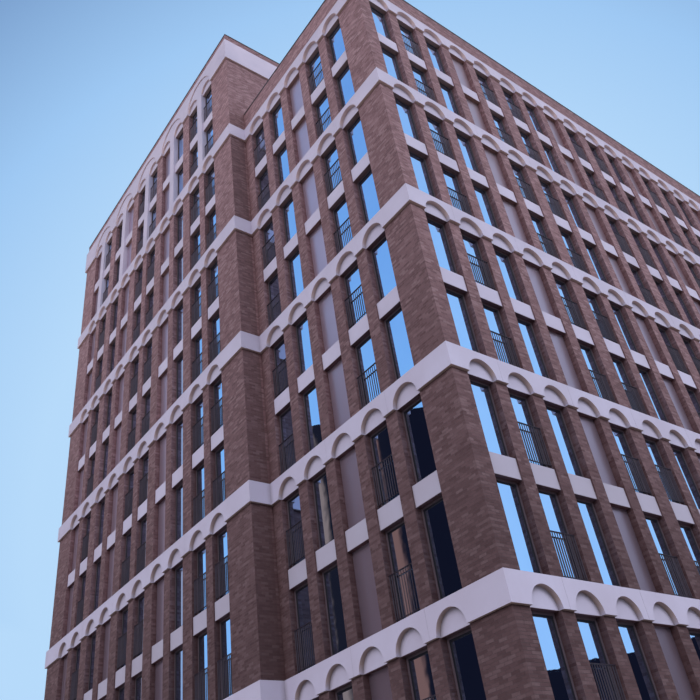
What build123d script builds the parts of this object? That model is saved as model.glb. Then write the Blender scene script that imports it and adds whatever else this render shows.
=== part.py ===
from build123d import *
import os

os.makedirs("parts", exist_ok=True)

# Heights, in millimetres
storey_height = 3100
storeys_per_module = 2
main_modules = 5
base_height = 990
band_height = 750
lower_window_height = 2500
wing_band_height = 1600
main_parapet_height = 1260
wing_parapet_height = 570
coping_height = 60
slab_thickness = 250
roof_deck_thickness = 120
wing_roof_drop = 500

# Widths along the walls
opening_width = 1030
pier_width = 470
wide_pier = 680
front_corner_pier = 680
side_corner_pier = 1395
inner_pier = 430
wing_near_pier = 1695
wing_far_pier = 1705
wing_projection = 815

# Depths, measured inwards from the face of the bands
brick_recess = 95
relief_recess = 50
spandrel_recess = 140
arch_recess = 145
facing_thickness = 190
blind_recess = 300
pier_back = 340
glass_thickness = 20
glass_lap = 60
beam_back = 500
parapet_back = 340
coping_recess = 75
coping_back = 360

# Joints, and the number of bays that one facing panel covers
joint_width = 10
bays_per_panel = 2

# Bays of each wall: W window, R window with a railing, B blind bay; a space is a wide pier.
# The walls run counterclockwise in plan, so the side and the wing front start at their far ends.
front_kinds = "WRWBR RWBR RWBR RWBRW"
end_kinds = "WRBRWRB"
rear_kinds = "WRRBWRRBW"
wing_rear_kinds = "RBWRRBWRR"
wing_end_kinds = "RWBRRBWR"
wing_front_kinds = "BR WB RR BW RR"
side_kinds = "RWBRW"

arch_radius = opening_width / 2
bay_pitch = opening_width + pier_width
module_height = storeys_per_module * storey_height
window_zone = module_height - band_height
upper_window_height = window_zone - storey_height
spandrel_height = storey_height - lower_window_height


def sill_level(module):
    """Height of the lower sills of a module, counted from 0 at the ground."""
    return base_height + module * module_height


def band_level(module):
    """Height of the underside of the band that closes a module."""
    return sill_level(module) + window_zone


def run_length(bays):
    """Length of a run of evenly spaced bays, from the first jamb to the last."""
    return bays * bay_pitch - pier_width


def bays_length(kinds):
    """Length of all the bays of a wall, with the wide piers between its runs."""
    runs = [run_length(len(run)) for run in kinds.split()]
    return sum(runs) + (len(runs) - 1) * wide_pier


def bay_starts(first_pier, kinds):
    """Distance of each bay's first jamb from the start of its wall."""
    starts = []
    run_start = first_pier
    for run in kinds.split():
        starts += [run_start + index * bay_pitch for index in range(len(run))]
        run_start += run_length(len(run)) + wide_pier
    return starts


class Wall:
    """A straight wall in plan, with the building on its left."""

    def __init__(self, start, end, first_pier=0, kinds="", inner_start=False, inner_end=False):
        run = Vector(*end) - Vector(*start)
        self.length = run.length
        self.plan = Plane(origin=start, x_dir=run.normalized(), z_dir=(0, 0, 1))
        self.starts = bay_starts(first_pier, kinds)
        self.kinds = kinds.replace(" ", "")
        self.inner_start = inner_start
        self.inner_end = inner_end

    def patch(self, first, last, outer, inner):
        """Rectangle in plan, between two distances along the wall and two depths into it."""
        middle = Pos((first + last) / 2, (outer + inner) / 2)
        return self.plan.location * middle * Rectangle(last - first, inner - outer)

    def first(self, outer, inner):
        """Where a layer of the wall starts: behind the wall before it, with a joint between them."""
        return joint_width - outer if self.inner_start else inner + joint_width

    def last(self, outer, inner):
        """Where a layer of the wall ends, as it runs through to the corner."""
        return self.length + inner if self.inner_end else self.length - outer

    def strip(self, outer, inner):
        """A whole layer of the wall."""
        return self.patch(self.first(outer, inner), self.last(outer, inner), outer, inner)

    def openings(self, kinds="WRB"):
        """First and last jamb of each bay of some kinds."""
        return [(start, start + opening_width) for start, kind in zip(self.starts, self.kinds) if kind in kinds]

    def pair_openings(self):
        """First and last jamb of each pair of bays."""
        return [(self.starts[index], self.starts[index + 1] + opening_width)
                for index in range(0, len(self.starts), 2)]

    def piers(self, outer, inner, openings):
        """A layer of the wall between openings."""
        jambs = [self.first(outer, inner)]
        for opening in openings:
            jambs.extend(opening)
        jambs.append(self.last(outer, inner))
        return [self.patch(jambs[index], jambs[index + 1], outer, inner) for index in range(0, len(jambs), 2)]

    def elevation(self, level):
        """Upright plane on the face of the bands, looking at the wall from outside."""
        origin = self.plan.origin + Vector(0, 0, level)
        return Plane(origin=origin, x_dir=self.plan.x_dir, z_dir=-self.plan.y_dir)


# Main dimensions of the plan, from the near corner
front_length = 2 * front_corner_pier + bays_length(front_kinds)
main_depth = 2 * side_corner_pier + bays_length(end_kinds)
side_length = side_corner_pier + bays_length(side_kinds) + inner_pier
wing_length = wing_near_pier + bays_length(wing_front_kinds) + wing_far_pier
wing_back = front_length - front_corner_pier - bays_length(rear_kinds) - inner_pier
wing_top = side_length + wing_length
wing_end_pier = (wing_back + wing_projection - bays_length(wing_end_kinds)) / 2
centre_x = (front_length - wing_projection) / 2
centre_y = wing_top / 2


def spot(x, y):
    """Point of the plan, with the middle of the whole building as the origin."""
    return (x - centre_x, y - centre_y)


near_corner = spot(0, 0)
front_corner = spot(front_length, 0)
back_corner = spot(front_length, main_depth)
rear_inner_corner = spot(wing_back, main_depth)
wing_rear_corner = spot(wing_back, wing_top)
wing_far_corner = spot(-wing_projection, wing_top)
wing_near_corner = spot(-wing_projection, side_length)
side_inner_corner = spot(0, side_length)
wing_inside_corner = spot(wing_back, side_length)

front = Wall(near_corner, front_corner, front_corner_pier, front_kinds)
end = Wall(front_corner, back_corner, side_corner_pier, end_kinds)
rear = Wall(back_corner, rear_inner_corner, front_corner_pier, rear_kinds, inner_end=True)
wing_rear = Wall(rear_inner_corner, wing_rear_corner, inner_pier, wing_rear_kinds, inner_start=True)
wing_end = Wall(wing_rear_corner, wing_far_corner, wing_end_pier, wing_end_kinds)
wing_front = Wall(wing_far_corner, wing_near_corner, wing_far_pier, wing_front_kinds)
wing_return = Wall(wing_near_corner, side_inner_corner, inner_end=True)
side = Wall(side_inner_corner, near_corner, inner_pier, side_kinds, inner_start=True)

# The wing stands one module above the main roof, where it has a blind wall of its own
wing_blind = Wall(wing_near_corner, wing_inside_corner)
wing_high_rear = Wall(wing_inside_corner, wing_rear_corner, main_depth - side_length + inner_pier,
                      wing_rear_kinds)

walls = [front, end, rear, wing_rear, wing_end, wing_front, wing_return, side]
high_walls = [wing_high_rear, wing_end, wing_front, wing_blind]
shown_walls = [front, wing_front, side]
unseen_walls = [end, rear, wing_rear, wing_end]
whole_plan = make_face(Polyline(near_corner, front_corner, back_corner, rear_inner_corner, wing_rear_corner,
                                wing_far_corner, wing_near_corner, side_inner_corner, close=True))
wing_plan = make_face(Polyline(wing_near_corner, wing_inside_corner, wing_rear_corner, wing_far_corner,
                               close=True))


def inset(plan, depth):
    """A plan drawn in by a depth, with sharp corners."""
    return offset(plan, -depth, kind=Kind.INTERSECTION)


def raised(sketches, level, height):
    """Upright solids on some sketches."""
    return [Pos(0, 0, level) * extrude(sketch, height) for sketch in sketches]


def write(solids, node):
    """One node of the building, as a STEP file."""
    export_step(Compound(label=node, children=list(solids)), f"parts/{node}.step")


def strips(some_walls, outer, inner):
    """One layer of some walls."""
    return [wall.strip(outer, inner) for wall in some_walls]


def piers(some_walls, outer, inner):
    """One layer of some walls between all their bays."""
    return [pier for wall in some_walls for pier in wall.piers(outer, inner, wall.openings())]


def infills(some_walls, outer, inner, kinds="WRB"):
    """Rectangles in plan that fill the bays of some kinds."""
    return [wall.patch(*opening, outer, inner) for wall in some_walls for opening in wall.openings(kinds)]


def panel_joints(wall):
    """Narrow joints in plan between facing panels, each at the middle of a pier.

    The front's first panel turns the corner and covers a single bay.
    """
    first_joint = 1 if wall is front else bays_per_panel
    joints = []
    for index in range(first_joint, len(wall.starts), bays_per_panel):
        middle = (wall.starts[index] + wall.starts[index - 1] + opening_width) / 2
        joints.append(wall.patch(middle - joint_width / 2, middle + joint_width / 2, 0, facing_thickness))
    return joints


def arches(wall):
    """Round prisms over the bays of a wall, centred on the underside of the band."""
    centres = [Pos(start + opening_width / 2, 0) for start in wall.starts]
    circles = [wall.elevation(0) * centre * Circle(arch_radius) for centre in centres]
    return [extrude(circle, -arch_recess) for circle in circles]


def double_arches(wall):
    """Wide shallow prisms over pairs of bays, for the relief round the small arches."""
    centres = [Pos(first + run_length(2) / 2, 0) for first, last in wall.pair_openings()]
    circles = [wall.elevation(0) * centre * Circle(run_length(2) / 2) for centre in centres]
    return [extrude(circle, -relief_recess) for circle in circles]


def lifted(solids, height):
    """Copies of some solids, moved up."""
    return [Pos(0, 0, height) * solid for solid in solids]


def glass_sheets(wall, modules):
    """A sheet of glass behind each storey of a wall, from floor to ceiling."""
    sheet = wall.patch(wall.starts[0] - glass_lap, wall.starts[-1] + opening_width + glass_lap,
                       pier_back, pier_back + glass_thickness)
    lower = extrude(sheet, storey_height - slab_thickness)
    upper = extrude(sheet, upper_window_height)
    sheets = []
    for module in modules:
        sheets.append(Pos(0, 0, sill_level(module)) * lower)
        sheets.append(Pos(0, 0, sill_level(module) + storey_height) * upper)
    return sheets


def main_roof_edge(outer, inner):
    """One layer of the main parapet, which stops at the walls of the wing."""
    rear_edge = rear.patch(rear.first(outer, inner), rear.length + brick_recess - joint_width, outer, inner)
    return strips([front, end, side], outer, inner) + [rear_edge]


base = strips(walls, 0, beam_back)
piers_plan = piers(walls, brick_recess, pier_back)
spandrels_plan = infills(walls, spandrel_recess, pier_back, "WR") + infills(
    walls, spandrel_recess, blind_recess, "B")
blind_plan = infills(walls, blind_recess, pier_back, "B")
beams_plan = strips(walls, facing_thickness, beam_back)
unseen_plan = strips(unseen_walls, 0, facing_thickness)
unseen_reach = [wall.patch(wall.first(0, facing_thickness) - joint_width, wall.length + facing_thickness,
                           0, facing_thickness + joint_width) for wall in unseen_walls]
facing_plan = (whole_plan - inset(whole_plan, facing_thickness) - unseen_reach
               - [joint for wall in shown_walls for joint in panel_joints(wall)])
arched_band = extrude(facing_plan, band_height) - [arch for wall in shown_walls for arch in arches(wall)]

write(raised(base, 0, base_height), "base_course")
for module in range(main_modules):
    number = module + 1
    sill = sill_level(module)
    band = band_level(module)
    write(raised(piers_plan, sill, window_zone), f"brick_piers_{number}")
    write(raised(spandrels_plan, sill + lower_window_height, spandrel_height), f"spandrels_{number}")
    write(raised(beams_plan, band, band_height), f"ring_beam_{number}")
    write(lifted(arched_band.solids(), band), f"arched_band_{number}")
    write(raised(unseen_plan, band, band_height), f"plain_band_{number}")

# The top module, on the wing alone
top = main_modules
top_sill = sill_level(top)
top_band = band_level(top)
high_openings = {wall: wall.openings() for wall in high_walls}
high_openings[wing_front] = wing_front.pair_openings()
high_piers = [pier for wall in high_walls for pier in wall.piers(brick_recess, pier_back, high_openings[wall])]
inner_piers = [wing_front.patch(first + opening_width, last - opening_width, relief_recess, pier_back)
               for first, last in wing_front.pair_openings()]
high_spandrels = infills(high_walls, spandrel_recess, pier_back, "WR") + infills(
    high_walls, spandrel_recess, blind_recess, "B")
high_blind = infills(high_walls, blind_recess, pier_back, "B")
high_facing = extrude(wing_plan - inset(wing_plan, facing_thickness) - panel_joints(wing_front),
                      wing_band_height)
high_facing -= double_arches(wing_front)
high_facing -= [arch for wall in high_walls for arch in arches(wall)]

write(raised(high_piers, top_sill, window_zone), f"brick_piers_{top + 1}")
write(raised(inner_piers, top_sill, window_zone), "white_inner_piers")
write(raised(high_spandrels, top_sill + lower_window_height, spandrel_height), f"spandrels_{top + 1}")
write(raised(strips(high_walls, facing_thickness, beam_back), top_band, wing_band_height),
      f"ring_beam_{top + 1}")
write(lifted(high_facing.solids(), top_band), "wing_top_band")

blind_panels = [panel for module in range(main_modules)
                for panel in raised(blind_plan, sill_level(module), window_zone)]
write(blind_panels + raised(high_blind, top_sill, window_zone), "blind_panels")

# Glass behind the windows, one sheet to a storey
main_range = range(main_modules)
write(glass_sheets(front, main_range), "glass_front")
write(glass_sheets(side, main_range), "glass_side")
write(glass_sheets(wing_front, range(main_modules + 1)), "glass_wing_front")
write(glass_sheets(end, main_range) + glass_sheets(rear, main_range) + glass_sheets(wing_rear, main_range)
      + glass_sheets(wing_high_rear, [top]) + glass_sheets(wing_end, range(main_modules + 1)), "glass_rear")

# Floors and roofs
band_floor = inset(whole_plan, beam_back)
window_floor = inset(whole_plan, pier_back)
floors = []
for module in range(main_modules):
    floors += raised([band_floor], sill_level(module) - slab_thickness, slab_thickness)
    floors += raised([window_floor], sill_level(module) + storey_height - slab_thickness, slab_thickness)
floors += raised([band_floor], top_sill - slab_thickness, slab_thickness)
floors += raised([inset(wing_plan, pier_back)], top_sill + storey_height - slab_thickness, slab_thickness)
write(floors, "floor_slabs")

deck_plan = inset(whole_plan, parapet_back) - inset(wing_plan, brick_recess)
write(raised([deck_plan], top_sill, roof_deck_thickness), "main_roof")
write(raised(main_roof_edge(brick_recess, parapet_back), top_sill, main_parapet_height), "main_parapet")
write(raised(main_roof_edge(coping_recess, coping_back), top_sill + main_parapet_height, coping_height),
      "main_coping")

wing_parapet_foot = top_band + wing_band_height
wing_roof_top = wing_parapet_foot - wing_roof_drop
write(raised([inset(wing_plan, beam_back)], wing_roof_top - slab_thickness, slab_thickness), "wing_roof")
write(raised(strips(high_walls, brick_recess, parapet_back), wing_parapet_foot, wing_parapet_height),
      "wing_parapet")
write(raised(strips(high_walls, coping_recess, coping_back), wing_parapet_foot + wing_parapet_height,
             coping_height), "wing_coping")
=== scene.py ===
import math
import random

import bmesh
import bpy
from mathutils import Matrix, Vector


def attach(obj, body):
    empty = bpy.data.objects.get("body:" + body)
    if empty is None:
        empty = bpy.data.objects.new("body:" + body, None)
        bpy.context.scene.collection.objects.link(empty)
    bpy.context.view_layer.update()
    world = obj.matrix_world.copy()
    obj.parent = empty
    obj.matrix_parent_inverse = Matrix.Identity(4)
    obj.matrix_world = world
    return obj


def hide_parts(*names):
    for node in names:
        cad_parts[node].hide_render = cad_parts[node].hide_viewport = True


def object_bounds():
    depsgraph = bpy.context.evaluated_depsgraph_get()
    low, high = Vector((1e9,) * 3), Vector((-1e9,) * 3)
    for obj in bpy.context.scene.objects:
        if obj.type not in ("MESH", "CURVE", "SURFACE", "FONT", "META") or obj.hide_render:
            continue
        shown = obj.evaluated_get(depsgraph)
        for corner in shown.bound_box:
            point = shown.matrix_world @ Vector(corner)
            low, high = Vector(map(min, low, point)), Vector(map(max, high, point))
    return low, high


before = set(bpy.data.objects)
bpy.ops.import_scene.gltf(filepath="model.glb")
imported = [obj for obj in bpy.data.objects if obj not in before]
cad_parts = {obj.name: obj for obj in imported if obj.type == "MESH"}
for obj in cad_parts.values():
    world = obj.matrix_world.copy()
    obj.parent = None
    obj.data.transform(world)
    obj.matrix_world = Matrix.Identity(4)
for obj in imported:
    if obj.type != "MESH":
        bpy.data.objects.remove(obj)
cad_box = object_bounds()

# Heights of the building, in metres
storey_height = 3.1
module_height = 2 * storey_height
main_modules = 5
base_height = 0.99
band_height = 0.75
lower_window_height = 2.5
wing_band_height = 1.6
main_parapet_height = 1.26
wing_parapet_height = 0.57
window_zone = module_height - band_height

# Widths along the walls
opening_width = 1.03
pier_width = 0.47
wide_pier = 0.68
front_corner_pier = 0.68
side_corner_pier = 1.395
inner_pier = 0.43
wing_near_pier = 1.695
wing_far_pier = 1.705
wing_projection = 0.815
bay_pitch = opening_width + pier_width
joint_width = 0.01

# Depths behind the face of the bands
brick_recess = 0.095
arch_recess = 0.145
facing_thickness = 0.19
railing_depth = 0.192
trim_front = 0.300
frame_front = 0.308
pane_front = 0.320
pane_back = 0.328
frame_back = 0.338
pier_back = 0.34

# Widths in an opening, of the plate that lines the reveal and of the frame inside it
trim_width = 0.070
frame_width = 0.060

# Bays of each wall: W window, R window with a railing, B blind bay; a space is a wide pier
front_kinds = "WRWBR RWBR RWBR RWBRW"
end_kinds = "WRBRWRB"
rear_kinds = "WRRBWRRBW"
wing_rear_kinds = "RBWRRBWRR"
wing_end_kinds = "RWBRRBWR"
wing_front_kinds = "BR WB RR BW RR"
side_kinds = "RWBRW"
window_kinds = "WR"
bays_per_panel = 2

rng = random.Random(7)


def run_length(bays):
    """Length of a run of evenly spaced bays, from the first jamb to the last."""
    return bays * bay_pitch - pier_width


def bays_length(kinds):
    """Length of all the bays of a wall, with the wide piers between its runs."""
    runs = [run_length(len(run)) for run in kinds.split()]
    return sum(runs) + (len(runs) - 1) * wide_pier


def bay_starts(first_pier, kinds):
    """Distance of each bay's first jamb from the start of its wall."""
    starts = []
    run_start = first_pier
    for run in kinds.split():
        starts += [run_start + index * bay_pitch for index in range(len(run))]
        run_start += run_length(len(run)) + wide_pier
    return starts


def sill_level(module):
    """Height of the lower sills of a two-storey module, counted from nought."""
    return base_height + module * module_height


class Wall:
    """A straight wall in plan, with the building on its left."""

    def __init__(self, start, end, first_pier, kinds):
        self.start = Vector((start[0], start[1], 0))
        run = Vector((end[0], end[1], 0)) - self.start
        self.length = run.length
        self.along = run.normalized()
        self.inward = Vector((0, 0, 1)).cross(self.along)
        self.kinds = kinds.replace(" ", "")
        self.starts = bay_starts(first_pier, kinds)

    def spot(self, distance, depth, height):
        """Point at a distance along the wall, a depth behind its face and a height."""
        return self.start + self.along * distance + self.inward * depth + Vector((0, 0, height))


# Plan of the walls, from the near corner
low = Vector(cad_box[0])
front_length = 2 * front_corner_pier + bays_length(front_kinds)
main_depth = 2 * side_corner_pier + bays_length(end_kinds)
side_length = side_corner_pier + bays_length(side_kinds) + inner_pier
wing_length = wing_near_pier + bays_length(wing_front_kinds) + wing_far_pier
wing_back = front_length - front_corner_pier - bays_length(rear_kinds) - inner_pier
wing_top = side_length + wing_length
wing_end_pier = (wing_back + wing_projection - bays_length(wing_end_kinds)) / 2


def plan_spot(x, y):
    """Point of the plan, counted from the near corner."""
    return (low.x + wing_projection + x, low.y + y)


near_corner = plan_spot(0, 0)
front_corner = plan_spot(front_length, 0)
back_corner = plan_spot(front_length, main_depth)
rear_inner_corner = plan_spot(wing_back, main_depth)
wing_rear_corner = plan_spot(wing_back, wing_top)
wing_far_corner = plan_spot(-wing_projection, wing_top)
wing_near_corner = plan_spot(-wing_projection, side_length)
side_inner_corner = plan_spot(0, side_length)
wing_inside_corner = plan_spot(wing_back, side_length)

front = Wall(near_corner, front_corner, front_corner_pier, front_kinds)
end = Wall(front_corner, back_corner, side_corner_pier, end_kinds)
rear = Wall(back_corner, rear_inner_corner, front_corner_pier, rear_kinds)
wing_rear = Wall(rear_inner_corner, wing_rear_corner, inner_pier, wing_rear_kinds)
wing_end = Wall(wing_rear_corner, wing_far_corner, wing_end_pier, wing_end_kinds)
wing_front = Wall(wing_far_corner, wing_near_corner, wing_far_pier, wing_front_kinds)
side = Wall(side_inner_corner, near_corner, inner_pier, side_kinds)
wing_high_rear = Wall(wing_inside_corner, wing_rear_corner, main_depth - side_length + inner_pier,
                      wing_rear_kinds)
wing_return = Wall(wing_near_corner, side_inner_corner, 0, "")
wing_blind = Wall(wing_near_corner, wing_inside_corner, 0, "")

# Walls with windows: name, wall, modules, and the node of glass that its panes replace. One node holds the
# glass of all the unseen walls, and the panes of the first of them replace it.
main_range = range(main_modules)
wing_range = range(main_modules + 1)
zones = [
    ("front", front, main_range, ["glass_front"]),
    ("side", side, main_range, ["glass_side"]),
    ("wing_front", wing_front, wing_range, ["glass_wing_front"]),
    ("end", end, main_range, ["glass_rear"]),
    ("rear", rear, main_range, []),
    ("wing_rear", wing_rear, main_range, []),
    ("wing_end", wing_end, wing_range, []),
    ("wing_high_rear", wing_high_rear, [main_modules], []),
]


def set_up_camera():
    """Camera at eye height on the street, off the near corner, tilted up and a little rolled."""
    camera_place = (near_corner[0] - 13.0975, near_corner[1] - 10.9175, 1.542)
    azimuth = math.radians(41.865)
    elevation = math.radians(36.759)
    roll = math.radians(-9.194)
    camera = bpy.data.objects.new("camera", bpy.data.cameras.new("camera"))
    bpy.context.scene.collection.objects.link(camera)
    turn = (Matrix.Rotation(-azimuth, 4, "Z") @ Matrix.Rotation(math.pi / 2 + elevation, 4, "X")
            @ Matrix.Rotation(roll, 4, "Z"))
    camera.matrix_world = Matrix.Translation(camera_place) @ turn
    camera.data.sensor_width = 36
    camera.data.lens = 39.91
    camera.data.shift_y = -0.0245
    camera.data.clip_end = 1000
    bpy.context.scene.camera = camera


def rgb(red, green, blue, level=1.0):
    """Colour for a socket, with its brightness times a level."""
    return (red * level, green * level, blue * level, 1.0)


black = rgb(0, 0, 0)
white = rgb(1, 1, 1)
# Dark brown of the soot patches on the brick, and of the painted shade on the wing's return
soot_and_shade = rgb(0.062, 0.033, 0.035)
# Dark brown of the painted shade on the cast stone
painted_shade_brown = rgb(0.10, 0.080, 0.065)


class Nodes:
    """A material's node tree, with short calls to add to it."""

    def __init__(self, name):
        self.material = bpy.data.materials.new(name)
        self.material.use_nodes = True
        self.tree = self.material.node_tree
        self.shader = self.tree.nodes["Principled BSDF"]

    def add(self, kind, **inputs):
        """A node, with some sockets set or linked by name; a socket number goes as _0, _1 and so on."""
        node = self.tree.nodes.new("ShaderNode" + kind)
        for name, value in inputs.items():
            socket = node.inputs[int(name[1:])] if name[0] == "_" else node.inputs[name.replace("_", " ")]
            self.feed(socket, value)
        return node

    def feed(self, socket, value):
        """Links another node's output to a socket, or sets the socket to a value."""
        if isinstance(value, bpy.types.NodeSocket):
            self.tree.links.new(value, socket)
        else:
            socket.default_value = value

    def math(self, operation, first, second=0.0):
        node = self.add("Math", _0=first, _1=second)
        node.operation = operation
        return node.outputs[0]

    def plus(self, first, second):
        return self.math("ADD", first, second)

    def times(self, first, second):
        return self.math("MULTIPLY", first, second)

    def rest(self, share):
        """What a share leaves of one."""
        return self.math("SUBTRACT", 1.0, share)

    def progress(self, value, first, last):
        """Share of the way of a value from one limit to another, from nought to one."""
        return self.add("MapRange", Value=value, From_Min=first, From_Max=last).outputs["Result"]

    def mix(self, share, first, second):
        """Mix of two colours."""
        node = self.tree.nodes.new("ShaderNodeMix")
        node.data_type = "RGBA"
        self.feed(node.inputs[0], share)
        self.feed(node.inputs[6], first)
        self.feed(node.inputs[7], second)
        return node.outputs[2]

    def ramp(self, share, stops):
        """Colour from a list of (position, colour)."""
        node = self.add("ValToRGB", Fac=share)
        elements = node.color_ramp.elements
        elements[0].position, elements[0].color = stops[0]
        elements[1].position, elements[1].color = stops[-1]
        for position, colour in stops[1:-1]:
            element = elements.new(position)
            element.color = colour
        return node.outputs["Color"]

    def noise(self, scale, detail, place, roughness=0.5):
        """Soft clouds, the smaller the higher their scale."""
        node = self.add("TexNoise", Vector=place, Scale=scale, Detail=detail, Roughness=roughness)
        return node.outputs["Fac"]

    def courses(self, place, length, height, joint, smooth=0.1):
        """Bricks or strips laid in courses: a random tone to each, and a share that is one in the joints."""
        pattern = self.add("TexBrick", Vector=place, Color1=black, Color2=white, Mortar=black, Scale=1.0,
                           Brick_Width=length, Row_Height=height, Mortar_Size=joint, Mortar_Smooth=smooth)
        return pattern.outputs["Color"], pattern.outputs["Fac"]

    def position(self):
        return self.add("NewGeometry").outputs["Position"]

    def coordinates(self):
        """The three coordinates of a spot."""
        return self.add("SeparateXYZ", _0=self.position()).outputs

    def facing(self):
        """The three parts of the direction that a surface faces."""
        return self.add("SeparateXYZ", _0=self.add("NewGeometry").outputs["True Normal"]).outputs

    def faces_x(self):
        """One on a surface that faces along X, or else nought."""
        return self.math("GREATER_THAN", self.math("ABSOLUTE", self.facing()[0]), 0.5)

    def wall_coordinates(self, stretch=1.0):
        """Distance along the wall and height, on a wall that faces along either axis."""
        place = self.coordinates()
        faces_x = self.faces_x()
        along = self.plus(self.times(place[1], faces_x), self.times(place[0], self.rest(faces_x)))
        height = self.math("SUBTRACT", place[2], base_height)
        return self.add("CombineXYZ", _0=self.times(along, stretch), _1=height).outputs[0]

    def rise(self, first, last):
        """Share of the way from one height to another."""
        return self.progress(self.coordinates()[2], first, last)

    def recess_shade_share(self, distance):
        """How deep in a recess a spot lies, from nought in the open to one, judged within a distance: the
        share of painted shade in recesses.
        """
        open_share = self.add("AmbientOcclusion", Distance=distance).outputs["AO"]
        return self.progress(open_share, 0.85, 0.35)

    def bump(self, height, distance):
        node = self.add("Bump", Height=height, Distance=distance)
        self.tree.links.new(node.outputs["Normal"], self.shader.inputs["Normal"])

    def finish(self, colour, roughness, **settings):
        """The material, with its colour, its roughness and other settings of its shader."""
        self.feed(self.shader.inputs["Base Color"], colour)
        self.feed(self.shader.inputs["Roughness"], roughness)
        for name, value in settings.items():
            self.shader.inputs[name.replace("_", " ")].default_value = value
        return self.material


class Sky(Nodes):
    """The world's node tree."""

    def __init__(self):
        self.world = bpy.data.worlds.new("world")
        self.world.use_nodes = True
        self.tree = self.world.node_tree
        bpy.context.scene.world = self.world

    def finish(self, colour):
        self.feed(self.tree.nodes["Background"].inputs["Color"], colour)


def brick_at_light_level(nodes, level, bricks, joints, streaks, clouds, grit, recess):
    """Mottled bricks in mortar at one level of painted light, made redder and darker in the recesses by
    painted shade.
    """
    tone = nodes.ramp(bricks, [
        (0.0, rgb(0.079, 0.043, 0.048, level)), (0.3, rgb(0.110, 0.063, 0.070, level)),
        (0.7, rgb(0.146, 0.085, 0.094, level)), (1.0, rgb(0.200, 0.132, 0.144, level))])
    mottled = nodes.mix(nodes.times(streaks, 0.5), tone, rgb(0.140, 0.078, 0.083, level))
    washed = nodes.mix(nodes.times(clouds, 0.25), mottled, rgb(0.124, 0.074, 0.083, level))
    mortar = nodes.mix(grit, rgb(0.108, 0.071, 0.081, level), rgb(0.172, 0.127, 0.139, level))
    laid = nodes.mix(joints, washed, mortar)
    # Painted shade: dark red-brown where the spot lies deep in a recess
    return nodes.mix(recess, laid, rgb(0.050, 0.008, 0.003, level))


def wing_return_shade(nodes):
    """One on the wing's narrow return beside the side wall, nought elsewhere and above the main roof: where
    shade is painted on the brick.
    """
    place = nodes.coordinates()
    outside = nodes.times(nodes.math("LESS_THAN", place[0], near_corner[0] - 0.001),
                          nodes.math("LESS_THAN", place[1], 0.0))
    faces_y = nodes.rest(nodes.faces_x())
    return nodes.times(nodes.times(outside, faces_y), nodes.rise(34.5, 31.5))


def brick_material():
    """Rough brown-red brick in thin courses, mottled, with painted light that brightens it from the street
    up, differently on the walls that face along X, and painted shade in its recesses and on the wing's
    narrow return.
    """
    course = storey_height / 40
    brick_length = 0.25
    mortar_width = 0.009
    # Painted light: the brick is mixed from a shaded and a lit copy by height above the street
    full_shade_height = 8.0
    shaded_level, lit_level = 0.75, 2.40
    nodes = Nodes("brick")
    place = nodes.wall_coordinates()
    bricks, joints = nodes.courses(place, brick_length, course, mortar_width / 2, 0.4)
    streaks = nodes.ramp(nodes.noise(13.0, 6.0, nodes.wall_coordinates(0.6), 0.65),
                         [(0.35, black), (0.7, white)])
    clouds = nodes.noise(0.35, 3.0, nodes.position())
    grit = nodes.noise(30.0, 3.0, place)
    # Share of painted shade in the brick's recesses
    recess = nodes.times(nodes.recess_shade_share(0.45), 0.42)
    lit_and_shaded_copies = [brick_at_light_level(nodes, level, bricks, joints, streaks, clouds, grit, recess)
              for level in (shaded_level, lit_level)]
    # Painted light: share of the lit copy, rising with height, to three quarters on walls that face along Y
    # and in full on walls that face along X
    front_lit_share = nodes.times(nodes.rise(full_shade_height, 19.5), 0.76)
    side_share = nodes.rise(full_shade_height, 34.0)
    colour = nodes.mix(nodes.mix(nodes.faces_x(), front_lit_share, side_share), *lit_and_shaded_copies)
    patches = nodes.ramp(nodes.noise(5.0, 6.0, nodes.wall_coordinates(0.8), 0.75),
                         [(0.38, black), (0.62, white)])
    colour = nodes.mix(nodes.times(patches, 0.26), colour, soot_and_shade)
    # Painted shade on the wing's narrow return, which the side wall shades
    colour = nodes.mix(nodes.times(wing_return_shade(nodes), 0.45), colour, soot_and_shade)
    grain = nodes.noise(60.0, 6.0, place, 0.7)
    relief = nodes.plus(nodes.rest(joints), nodes.times(grain, 0.5))
    nodes.bump(nodes.plus(relief, nodes.times(bricks, 0.5)), 0.008)
    return nodes.finish(colour, 0.9, Specular_IOR_Level=0.15)


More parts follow.
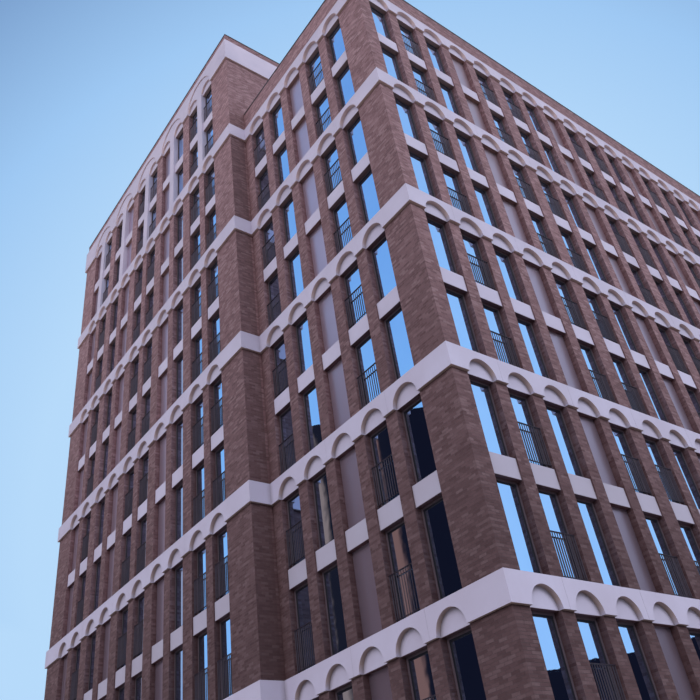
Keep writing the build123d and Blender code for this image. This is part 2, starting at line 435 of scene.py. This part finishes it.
def precast_material(name, low, high, worn, low_soffit_light, high_soffit_light, roughness=0.75, street_shade=0.0):
    """Smooth cast stone with faint clouds, fine pores and a light wash of rain, with painted light that
    brightens it higher up and warms its undersides, and painted shade in its recesses and lower down.
    """
    nodes = Nodes(name)
    clouds = nodes.noise(0.6, 5.0, nodes.position())
    rain = nodes.noise(3.0, 5.0, nodes.wall_coordinates(2.5))
    pores = nodes.noise(90.0, 4.0, nodes.position(), 0.7)
    # Painted light: the face brightens from the low tone to the high one with height
    face = nodes.mix(nodes.rise(14.0, 38.0), low, high)
    base = nodes.mix(nodes.ramp(clouds, [(0.3, black), (0.75, white)]), face, worn)
    washed = nodes.mix(nodes.times(rain, 0.35), base, worn)
    pitted = nodes.mix(nodes.times(nodes.math("GREATER_THAN", pores, 0.66), 0.25), washed, worn)
    # Painted warm bounce light on the undersides, brighter higher up
    under = nodes.progress(nodes.facing()[2], 0.0, -0.45)
    lowness = nodes.rise(30.0, 10.0)
    colour = nodes.mix(under, pitted, nodes.mix(lowness, high_soffit_light, low_soffit_light))
    # Painted shade in the recesses, stronger lower down
    colour = nodes.mix(nodes.times(nodes.recess_shade_share(0.30), nodes.times(lowness, 0.6)), colour, painted_shade_brown)
    # Painted shade, darker from 14.5 m down to 10.5 m
    if street_shade:
        colour = nodes.mix(nodes.times(nodes.rise(14.5, 10.5), street_shade), colour, painted_shade_brown)
    nodes.bump(pores, 0.0015)
    return nodes.finish(colour, roughness)


def panel_material():
    """Smooth satin metal panel of the blind bays, with painted light that makes the faces along X lighter
    and more mauve, and painted shade that darkens it near the street.
    """
    nodes = Nodes("blind_panel")
    clouds = nodes.noise(0.9, 4.0, nodes.position())
    brushed = nodes.noise(40.0, 3.0, nodes.wall_coordinates(0.1))
    front_low = nodes.mix(clouds, rgb(0.47, 0.365, 0.455), rgb(0.41, 0.32, 0.40))
    front_lit_tone = nodes.mix(nodes.rise(17.0, 26.0), front_low, rgb(0.39, 0.285, 0.335))
    side_lit_tone = nodes.mix(clouds, rgb(0.54, 0.42, 0.53), rgb(0.47, 0.365, 0.46))
    # Painted light: faces along X take the lighter tone
    lit_tone = nodes.mix(nodes.faces_x(), front_lit_tone, side_lit_tone)
    # Painted shade, darker near the street
    colour = nodes.mix(nodes.rise(6.0, 20.0), rgb(0.25, 0.185, 0.235), lit_tone)
    nodes.bump(brushed, 0.0008)
    return nodes.finish(colour, nodes.plus(0.28, nodes.times(clouds, 0.12)), Metallic=0.75)


def metal_material(name, light, dark, roughness=0.4, metallic=0.0, specular=0.15, high=None):
    """Painted metal with a little unevenness, brightened by painted light towards another tone high up where
    one is given.
    """
    nodes = Nodes(name)
    clouds = nodes.noise(4.0, 5.0, nodes.position())
    grain = nodes.noise(150.0, 3.0, nodes.position())
    colour = nodes.mix(clouds, dark, light)
    if high:
        # Painted light: brighter higher up
        colour = nodes.mix(nodes.rise(18.0, 38.0), colour, high)
    nodes.bump(grain, 0.0004)
    uneven = nodes.plus(roughness, nodes.times(clouds, 0.15))
    return nodes.finish(colour, uneven, Metallic=metallic, Specular_IOR_Level=specular)


def glass_material():
    """Tinted double glazing that mirrors the sky, with the faint waves of float glass."""
    nodes = Nodes("window_glass")
    waves = nodes.noise(1.3, 2.0, nodes.position())
    colour = nodes.mix(waves, rgb(0.42, 0.64, 0.97), rgb(0.47, 0.69, 1.0))
    nodes.bump(waves, 0.0012)
    return nodes.finish(colour, 0.012, Metallic=1.0)


def roof_material():
    """Grey roofing felt laid in strips, with fine mineral grains."""
    strip_length = 8.0
    strip_width = 1.0
    seam_width = 0.012
    nodes = Nodes("roofing")
    place = nodes.position()
    strips, seams = nodes.courses(place, strip_length, strip_width, seam_width)
    grains = nodes.noise(120.0, 3.0, place, 0.7)
    clouds = nodes.noise(0.4, 4.0, place)
    tone = nodes.mix(strips, rgb(0.14, 0.14, 0.15), rgb(0.18, 0.18, 0.19))
    worn = nodes.mix(nodes.times(clouds, 0.5), tone, rgb(0.24, 0.235, 0.23))
    colour = nodes.mix(seams, worn, rgb(0.07, 0.07, 0.075))
    nodes.bump(nodes.plus(grains, seams), 0.003)
    return nodes.finish(colour, 0.9)


def around(middle, width):
    """Range of a width about a middle."""
    return (middle - width / 2, middle + width / 2)


def rectangle(along, height, inset):
    """Corners of an opening drawn in all round, each as (distance, height)."""
    first, last = along[0] + inset, along[1] - inset
    bottom, top = height[0] + inset, height[1] - inset
    return ((first, bottom), (last, bottom), (last, top), (first, top))


class Mesher:
    """Collects the meshes of many like pieces and joins them in one object."""

    def __init__(self):
        self.mesh = bmesh.new()

    def solid(self, points, faces):
        """Closed shape from its points and, for each face, the numbers of its points."""
        corners = [self.mesh.verts.new(point) for point in points]
        for face in faces:
            self.mesh.faces.new([corners[index] for index in face])

    def box(self, wall, along, depth, height):
        """Upright box given by three ranges."""
        self.solid([wall.spot(a, d, z) for z in height for d in depth for a in along],
                   ((0, 1, 3, 2), (4, 6, 7, 5), (0, 4, 5, 1), (2, 3, 7, 6), (0, 2, 6, 4), (1, 5, 7, 3)))

    def ring(self, wall, along, height, profile):
        """A closed profile of (inset, depth) points led round a rectangle, with mitred corners."""
        loops = [[self.mesh.verts.new(wall.spot(a, depth, z)) for a, z in rectangle(along, height, inset)]
                 for inset, depth in profile]
        for index, loop in enumerate(loops):
            following = loops[(index + 1) % len(loops)]
            for corner in range(4):
                turn = (corner + 1) % 4
                self.mesh.faces.new([loop[corner], loop[turn], following[turn], following[corner]])

    def prism(self, wall, outline, depth):
        """Solid with a straight-sided or curved outline of (along, height) points, between two depths."""
        fronts = [self.mesh.verts.new(wall.spot(a, depth[0], z)) for a, z in outline]
        backs = [self.mesh.verts.new(wall.spot(a, depth[1], z)) for a, z in outline]
        self.mesh.faces.new(fronts)
        self.mesh.faces.new(backs)
        for index in range(len(outline)):
            following = (index + 1) % len(outline)
            self.mesh.faces.new([fronts[index], fronts[following], backs[following], backs[index]])

    def finish(self, name, material, slot, replaced=()):
        """Joins all as one piece of the building."""
        bmesh.ops.recalc_face_normals(self.mesh, faces=self.mesh.faces)
        data = bpy.data.meshes.new(name)
        self.mesh.to_mesh(data)
        self.mesh.free()
        data.materials.append(material)
        piece = bpy.data.objects.new(name, data)
        bpy.context.scene.collection.objects.link(piece)
        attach(piece, "root")
        if replaced:
            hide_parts(*replaced)


def openings(wall, modules, kinds):
    """The jambs and the heights of each opening of some kinds of bays."""
    for module in modules:
        sill = sill_level(module)
        lower = (sill, sill + lower_window_height)
        upper = (sill + storey_height, sill + window_zone)
        for start, kind in zip(wall.starts, wall.kinds):
            if kind in kinds:
                yield (start, start + opening_width), lower
                yield (start, start + opening_width), upper


def window_rings(name, wall, modules, profile, material):
    """A profile led round each window of a wall."""
    rings = Mesher()
    for along, height in openings(wall, modules, window_kinds):
        rings.ring(wall, along, height, profile)
    rings.finish(name, material, "metal")


def frame_profile():
    """Window frame with a sash set back a little and a sloping glazing bead."""
    first, last = trim_width, trim_width + frame_width
    sash = first + 0.028
    bead = last - 0.012
    sash_front = frame_front + 0.004
    return [(first, frame_back), (first, frame_front), (sash, frame_front), (sash, sash_front),
            (bead, sash_front), (last, pane_front), (last, frame_back)]


def trim_profile():
    """Plate that closes the reveal between the brick and the frame, with chamfered edges."""
    chamfer = 0.006
    edge_depth = trim_front + chamfer
    return [(0.0, frame_back), (0.0, edge_depth), (chamfer, trim_front), (trim_width - chamfer, trim_front),
            (trim_width, edge_depth), (trim_width, frame_back)]


def head_plates(name, wall, modules, material):
    """Dark plates under the head of each opening."""
    thickness = 0.01
    side_gap = 0.001
    head_gap = 0.0005
    depth = (arch_recess + 0.005, trim_front - 0.002)
    heads = Mesher()
    for along, height in openings(wall, modules, "WRB"):
        heads.box(wall, (along[0] + side_gap, along[1] - side_gap), depth,
                  (height[1] - thickness, height[1] - head_gap))
    heads.finish(f"head_plates_{name}", material, "metal")


def window_panes(name, wall, modules, material, replaced):
    """Panes of glass, each a hair out of line with its neighbours, as panes are."""
    rebate = 0.005
    lean = 0.0015
    panes = Mesher()
    for along, height in openings(wall, modules, window_kinds):
        sideways = rng.uniform(-lean, lean)
        upright = rng.uniform(-lean, lean)
        turns = (sideways + upright, upright - sideways, -sideways - upright, sideways - upright)
        corners = rectangle(along, height, trim_width + frame_width - rebate)
        panes.solid([wall.spot(a, depth + turn, z) for depth in (pane_front, pane_back)
                     for (a, z), turn in zip(corners, turns)],
                    ((0, 1, 2, 3), (7, 6, 5, 4), (0, 4, 5, 1), (1, 5, 6, 2), (2, 6, 7, 3), (3, 7, 4, 0)))
    panes.finish(f"window_panes_{name}", material, "glass", replaced)


def railings(name, wall, modules, bar_material, shaded_rail_material):
    """Iron railings across the reveals: a top and a foot rail, and upright bars between two posts; the rails
    take a darker copy of the iron as painted shade.
    """
    top_rail, foot_rail = 1.27, 0.13
    top_rail_depth, top_rail_thickness = 0.045, 0.022
    foot_rail_depth, foot_rail_thickness = 0.030, 0.016
    post_width, post_depth, post_foot = 0.020, 0.024, 0.05
    bar_width, bar_depth, bar_count = 0.010, 0.026, 10
    bars_foot = foot_rail - 0.002
    bars_top = top_rail - 0.012
    bar_pitch = opening_width / (bar_count + 1)
    bars = Mesher()
    rails = Mesher()
    for along, height in openings(wall, modules, "R"):
        sill = height[0]
        for top, depth, thickness in ((top_rail, top_rail_depth, top_rail_thickness),
                                      (foot_rail, foot_rail_depth, foot_rail_thickness)):
            rails.box(wall, along, around(railing_depth, depth), (sill + top - thickness, sill + top))
        for middle in (along[0] + post_width / 2, along[1] - post_width / 2):
            bars.box(wall, around(middle, post_width), around(railing_depth, post_depth),
                     (sill + post_foot, sill + bars_top))
        for index in range(bar_count):
            bars.box(wall, around(along[0] + (index + 1) * bar_pitch, bar_width),
                     around(railing_depth, bar_depth), (sill + bars_foot, sill + bars_top))
    bars.finish(f"railings_{name}", bar_material, "metal")
    rails.finish(f"railing_rails_{name}", shaded_rail_material, "metal")


def joint_middles(wall):
    """Distances of the joints between a wall's facing panels, the front's first panel being one bay wide."""
    first_joint = 1 if wall is front else bays_per_panel
    return [(wall.starts[index] + wall.starts[index - 1] + opening_width) / 2
            for index in range(first_joint, len(wall.starts), bays_per_panel)]


def arch_points(start, foot):
    """Half circle over a bay, as (distance, height) points from its left foot to its right."""
    steps = 24
    radius = opening_width / 2
    centre = start + radius
    angles = [math.pi * step / steps for step in range(steps + 1)]
    return [(centre - radius * math.cos(angle), foot + radius * math.sin(angle)) for angle in angles]


def arched_panels(number, material):
    """A band of the unseen walls, in panels of two bays, with a blind arch over each bay."""
    band = sill_level(number - 1) + window_zone
    top = band + band_height
    panels = Mesher()
    for wall, first in ((end, facing_thickness + joint_width), (rear, facing_thickness + joint_width),
                        (wing_rear, joint_width), (wing_end, facing_thickness + joint_width)):
        last = wall.length + facing_thickness if wall is rear else wall.length
        middles = joint_middles(wall)
        lefts = [first] + [middle + joint_width / 2 for middle in middles]
        rights = [middle - joint_width / 2 for middle in middles] + [last]
        for left, right in zip(lefts, rights):
            outline = [(left, band)]
            for start in wall.starts:
                if left < start < right:
                    outline += arch_points(start, band)
            outline += [(right, band), (right, top), (left, top)]
            panels.prism(wall, outline, (0, arch_recess))
            panels.box(wall, (left, right), (arch_recess, facing_thickness), (band, top))
    panels.finish(f"arched_panels_{number}", material, "precast", [f"plain_band_{number}"])


def band_joints(material):
    """Pale sealant, set back a little, in the upright joints between the panels of the bands."""
    side_gap = 0.0005
    end_gap = 0.001
    depth = (0.003, 0.030)
    bands = [(sill_level(module) + window_zone, band_height) for module in main_range]
    wing_band = [(sill_level(main_modules) + window_zone, wing_band_height)]
    half = joint_width / 2 - side_gap
    strips = Mesher()
    for wall in (front, side, wing_front, end, rear, wing_rear, wing_end):
        for band, tall in bands + (wing_band if wall is wing_front else []):
            for middle in joint_middles(wall):
                strips.box(wall, (middle - half, middle + half), depth,
                           (band + end_gap, band + tall - end_gap))
    strips.finish("band_joints", material, "precast")


def brick_joints(material):
    """Brick-coloured sealant that closes the upright joints near the corners."""
    side_gap = 0.0005
    end_gap = 0.002
    along = (pier_back + side_gap, pier_back + joint_width - side_gap)
    depth = (brick_recess + 0.001, brick_recess + 0.02)
    main_top = sill_level(main_modules)
    wing_brick_top = main_top + window_zone + wing_band_height
    low_zones = [(sill_level(module), sill_level(module) + window_zone) for module in main_range]
    high_zones = [(main_top, main_top + window_zone), (wing_brick_top, wing_brick_top + wing_parapet_height)]
    parapet = [(main_top, main_top + main_parapet_height)]
    strips = Mesher()
    for wall, brick_zones in ((front, low_zones + parapet), (end, low_zones + parapet),
                              (rear, low_zones + parapet), (wing_end, low_zones + high_zones),
                              (wing_front, low_zones + high_zones), (wing_return, low_zones),
                              (wing_blind, high_zones), (wing_high_rear, high_zones)):
        for bottom, top in brick_zones:
            strips.box(wall, along, depth, (bottom + end_gap, top - end_gap))
    strips.finish("brick_joints", material, "brick")


def node_material(name):
    """Which of the materials a node of the frame has."""
    if name.startswith("brick_piers") or name.endswith("parapet"):
        return "brick"
    if name.startswith("ring_beam") or name == "floor_slabs":
        return "concrete"
    if name.startswith("glass"):
        return "glass"
    if name.endswith("roof"):
        return "roof"
    if name.endswith("coping"):
        return "coping"
    if name == "blind_panels":
        return "panel"
    if name.startswith("spandrels"):
        return "spandrel"
    return "precast"


def lay_floor():
    """Plain pale floor that throws a little warm light up at the building."""
    half = 200
    data = bpy.data.meshes.new("floor")
    data.from_pydata([(-half, -half, 0), (half, -half, 0), (half, half, 0), (-half, half, 0)], [],
                     [(0, 1, 2, 3)])
    floor = bpy.data.objects.new("floor", data)
    bpy.context.scene.collection.objects.link(floor)
    nodes = Nodes("floor")
    path = nodes.add("LightPath").outputs
    seen = nodes.math("MAXIMUM", path["Is Camera Ray"], path["Is Glossy Ray"])
    data.materials.append(nodes.finish(nodes.mix(seen, rgb(0.15, 0.12, 0.10), rgb(0.80, 0.80, 0.80)), 0.95))


def sky_behind(sky, direction):
    """The sky behind the building, paler far to the sides and low down."""
    spread = sky.plus(sky.math("ABSOLUTE", direction[0]), sky.math("ABSOLUTE", direction[1]))
    spread = sky.plus(spread, sky.times(direction[2], 0.6))
    side_share = sky.progress(spread, 1.09, 1.37)
    low_share = sky.progress(direction[2], 0.50, 0.30)
    return sky.ramp(sky.math("MAXIMUM", side_share, low_share), [
        (0.0, rgb(0.21, 0.37, 0.64)), (0.5, rgb(0.345, 0.58, 0.90)), (1.0, rgb(0.47, 0.70, 0.96))])


def mirrored_sky(sky, direction):
    """What glass and metal mirror: the sky, hazy far along the side street, above the houses opposite."""
    skyline = 0.20
    side_skyline = 0.506
    across = sky.math("DIVIDE", sky.math("SUBTRACT", 0.0, direction[0]), direction[1])
    blue = sky.ramp(direction[2], [(0.45, rgb(0.42, 0.66, 0.93)), (0.88, rgb(0.26, 0.45, 0.76))])
    glow = sky.times(sky.math("MAXIMUM", sky.math("SUBTRACT", direction[0], direction[1]), 0.0), 0.6)
    pale = sky.mix(glow, blue, rgb(0.62, 0.80, 1.0))
    haze = sky.times(sky.progress(across, 0.54, 0.48), sky.math("GREATER_THAN", direction[1], 0.3))
    haze = sky.times(haze, sky.math("LESS_THAN", direction[0], 0.0))
    pale = sky.mix(haze, pale, rgb(0.55, 0.38, 0.36))
    shade, brick, pale_brick = rgb(0.018, 0.015, 0.022), rgb(0.34, 0.14, 0.10), rgb(0.42, 0.24, 0.18)
    houses = sky.ramp(across, [
        (0.0, rgb(0.030, 0.034, 0.042)), (0.705, rgb(0.020, 0.018, 0.026)), (0.715, pale_brick),
        (0.765, pale_brick), (0.775, shade), (0.885, shade), (0.895, brick), (0.925, brick),
        (0.935, rgb(0.014, 0.012, 0.020)), (1.0, rgb(0.010, 0.009, 0.017))])
    sideways = sky.math("LESS_THAN", sky.plus(direction[0], sky.times(0.6, direction[1])), 0.0)
    roofs = sky.plus(skyline, sky.times(sideways, side_skyline - skyline))
    return sky.mix(sky.math("GREATER_THAN", direction[2], roofs), houses, pale)


def set_up_sky():
    """Soft even sky light, with one sky behind the building and another mirrored in it."""
    sky = Sky()
    direction = sky.add("SeparateXYZ", _0=sky.add("TexCoord").outputs["Generated"]).outputs
    path = sky.add("LightPath").outputs
    clear = sky.math("MAXIMUM", path["Is Camera Ray"], path["Is Transmission Ray"])
    lit = sky.mix(path["Is Glossy Ray"], rgb(0.86, 0.93, 1.08), mirrored_sky(sky, direction))
    sky.finish(sky.mix(clear, lit, sky_behind(sky, direction)))


def soft_lamp(name, direction, energy, colour):
    """A distant wide lamp that shines from a direction."""
    lamp = bpy.data.objects.new(name, bpy.data.lights.new(name, "SUN"))
    bpy.context.scene.collection.objects.link(lamp)
    lamp.data.energy = energy
    lamp.data.color = colour
    lamp.data.angle = math.radians(40)
    lamp.matrix_world = Vector(direction).to_track_quat("Z", "Y").to_matrix().to_4x4()


set_up_camera()
lay_floor()
set_up_sky()
soft_lamp("front_lamp", (0.05, -0.80, 0.60), 1.5, (0.92, 0.95, 1.0))
soft_lamp("side_lamp", (-0.85, -0.15, 0.50), 1.0, (1.0, 0.94, 0.92))

materials = {
    "brick": brick_material(),
    "precast": precast_material(
        "precast", low=rgb(0.485, 0.45, 0.59), high=rgb(0.54, 0.465, 0.57), worn=rgb(0.42, 0.375, 0.485),
        low_soffit_light=rgb(0.50, 0.38, 0.36), high_soffit_light=rgb(0.80, 0.61, 0.57)),
    "spandrel": precast_material(
        "spandrel", low=rgb(0.50, 0.465, 0.61), high=rgb(0.55, 0.475, 0.58), worn=rgb(0.435, 0.39, 0.50),
        low_soffit_light=rgb(0.50, 0.38, 0.36), high_soffit_light=rgb(0.80, 0.61, 0.57), street_shade=0.26),
    "concrete": precast_material(
        "concrete", low=rgb(0.11, 0.095, 0.10), high=rgb(0.11, 0.095, 0.10), worn=rgb(0.075, 0.065, 0.07),
        low_soffit_light=rgb(0.10, 0.085, 0.08), high_soffit_light=rgb(0.10, 0.085, 0.08), roughness=0.9),
    "panel": panel_material(),
    "glass": glass_material(),
    "roof": roof_material(),
    "coping": metal_material("coping", rgb(0.050, 0.042, 0.048), rgb(0.032, 0.027, 0.031),
                             metallic=0.3, specular=0.5),
    "frame": metal_material("window_frame", rgb(0.014, 0.014, 0.022), rgb(0.008, 0.008, 0.014)),
    "trim": metal_material("reveal_trim", rgb(0.098, 0.070, 0.086), rgb(0.074, 0.053, 0.066), roughness=0.5),
    # The high tones of the head plates and the railings are painted light
    "head": metal_material("head_plate", rgb(0.105, 0.055, 0.060), rgb(0.070, 0.036, 0.042), roughness=0.6,
                           specular=0.1, high=rgb(0.40, 0.26, 0.22)),
    "railing": metal_material("railing", rgb(0.090, 0.068, 0.084), rgb(0.062, 0.047, 0.060), specular=0.3,
                              high=rgb(0.170, 0.125, 0.150)),
    # The rails are a darker copy of the railing's iron: painted shade
    "rail": metal_material("rail", rgb(0.036, 0.026, 0.038), rgb(0.022, 0.016, 0.026)),
}
for node_name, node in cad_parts.items():
    node.data.materials.clear()
    node.data.materials.append(materials[node_material(node_name)])

for zone, wall, modules, glass_nodes in zones:
    window_rings(f"window_frames_{zone}", wall, modules, frame_profile(), materials["frame"])
    window_rings(f"reveal_trims_{zone}", wall, modules, trim_profile(), materials["trim"])
    head_plates(zone, wall, modules, materials["head"])
    window_panes(zone, wall, modules, materials["glass"], glass_nodes)
    railings(zone, wall, modules, materials["railing"], materials["rail"])
for band_number in range(1, main_modules + 1):
    arched_panels(band_number, materials["precast"])
band_joints(materials["precast"])
brick_joints(materials["brick"])

bpy.context.scene.view_settings.view_transform = "Standard"
